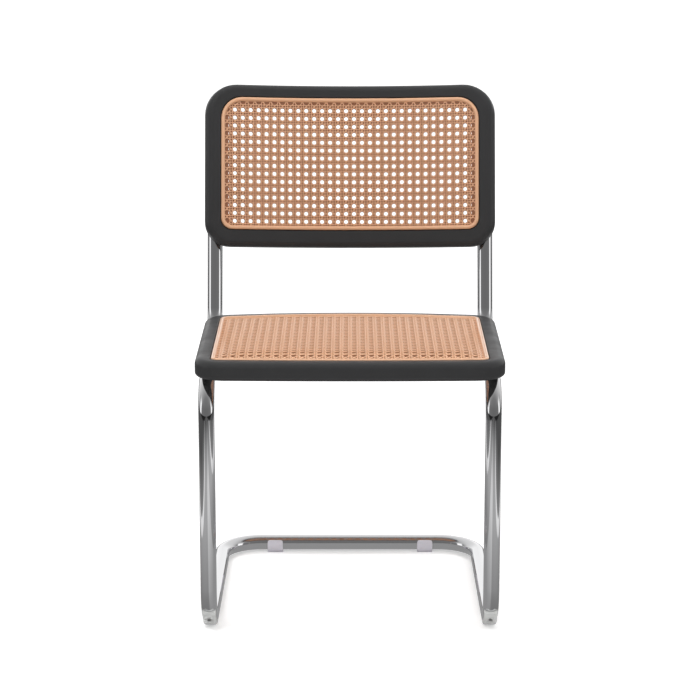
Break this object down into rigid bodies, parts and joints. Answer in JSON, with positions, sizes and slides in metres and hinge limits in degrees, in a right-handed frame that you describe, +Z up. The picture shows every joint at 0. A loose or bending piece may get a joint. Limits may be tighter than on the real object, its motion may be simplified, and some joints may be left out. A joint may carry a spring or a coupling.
{
  "type": "cantilever dining chair",
  "caption": "Cantilever side chair on one bent chrome tube, with a black-framed flat seat and bowed back, each holding a panel moulded like woven cane.",
  "frame": {"origin": "on the floor, under the middle of the chair's bounding box", "axes": "+Z up; the sitter faces -Y; +X is to the right in a view from the front, the sitter's left hand side"},
  "size_m": [0.4804, 0.5414, 0.7892],
  "materials": {
    "chrome_tube": "polished chrome plate",
    "black_lacquer": "satin black lacquer on solid wood",
    "cane_plastic": "injection moulded, orange tan, satin",
    "clear_plastic": "clear, slightly frosted at its edges",
    "white_nylon": "white with a cool cast, semi-matt",
    "black_plastic": "moulded black",
    "zinc_plated_steel": "zinc plated",
    "beech": "bare turned beech"
  },
  "bodies": {
    "root": {"tube_frame": "chrome_tube", "right_tube_plug": "black_plastic", "left_tube_plug": "black_plastic", "front_right_foot": "clear_plastic", "front_left_foot": "clear_plastic", "rear_right_glide": "white_nylon", "rear_left_glide": "white_nylon", "foot_screw_1": "zinc_plated_steel", "foot_screw_2": "zinc_plated_steel", "seat_screw_1": "zinc_plated_steel", "seat_screw_2": "zinc_plated_steel", "seat_screw_3": "zinc_plated_steel", "seat_screw_4": "zinc_plated_steel", "back_screw_1": "zinc_plated_steel", "back_screw_2": "zinc_plated_steel", "back_screw_3": "zinc_plated_steel", "back_screw_4": "zinc_plated_steel", "seat_front_rail": "black_lacquer", "seat_rear_rail": "black_lacquer", "seat_right_rail": "black_lacquer", "seat_left_rail": "black_lacquer", "seat_dowel_1": "beech", "seat_dowel_2": "beech", "seat_dowel_3": "beech", "seat_dowel_4": "beech", "seat_dowel_5": "beech", "seat_dowel_6": "beech", "seat_dowel_7": "beech", "seat_dowel_8": "beech", "seat_panel": "cane_plastic", "seat_panel_screw_1": "zinc_plated_steel", "seat_panel_screw_2": "zinc_plated_steel", "seat_panel_screw_3": "zinc_plated_steel", "seat_panel_screw_4": "zinc_plated_steel", "seat_panel_screw_5": "zinc_plated_steel", "seat_panel_screw_6": "zinc_plated_steel", "back_bottom_rail": "black_lacquer", "back_top_rail": "black_lacquer", "back_right_stile": "black_lacquer", "back_left_stile": "black_lacquer", "back_dowel_1": "beech", "back_dowel_2": "beech", "back_dowel_3": "beech", "back_dowel_4": "beech", "back_dowel_5": "beech", "back_dowel_6": "beech", "back_dowel_7": "beech", "back_dowel_8": "beech", "back_panel": "cane_plastic", "back_panel_screw_1": "zinc_plated_steel", "back_panel_screw_2": "zinc_plated_steel", "back_panel_screw_3": "zinc_plated_steel", "back_panel_screw_4": "zinc_plated_steel", "back_panel_screw_5": "zinc_plated_steel", "back_panel_screw_6": "zinc_plated_steel"}
  },
  "joints": []
}
